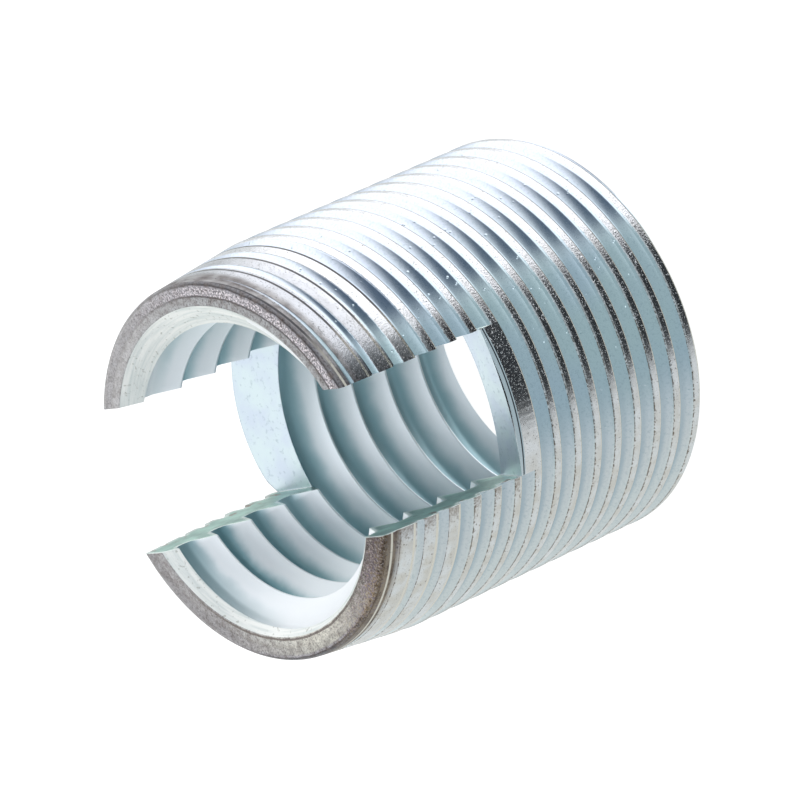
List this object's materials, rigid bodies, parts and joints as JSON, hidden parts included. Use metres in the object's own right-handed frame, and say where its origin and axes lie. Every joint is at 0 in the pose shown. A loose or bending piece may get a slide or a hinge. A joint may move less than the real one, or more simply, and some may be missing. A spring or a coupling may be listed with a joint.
{
  "type": "threaded insert",
  "caption": "Self-cutting metal threaded insert: a sleeve threaded inside and out, with a cutting slot milled across its tapered front end.",
  "frame": {"origin": "centre of the flat rear face, on the sleeve's axis, with the rear face on the ground plane", "axes": "+Z runs along the sleeve's axis from the rear face to the slotted front end, +Y runs along the cutting slot, +X is square to the slot's side faces"},
  "size_m": [0.022, 0.022, 0.0233],
  "materials": {
    "zinc_plated_steel": "blue-passivated zinc plate, smooth in the thread grooves, burnt grey-brown and rough on the front rim and along the outer thread's crests"
  },
  "bodies": {
    "root": {"insert_sleeve": "zinc_plated_steel"}
  },
  "joints": []
}
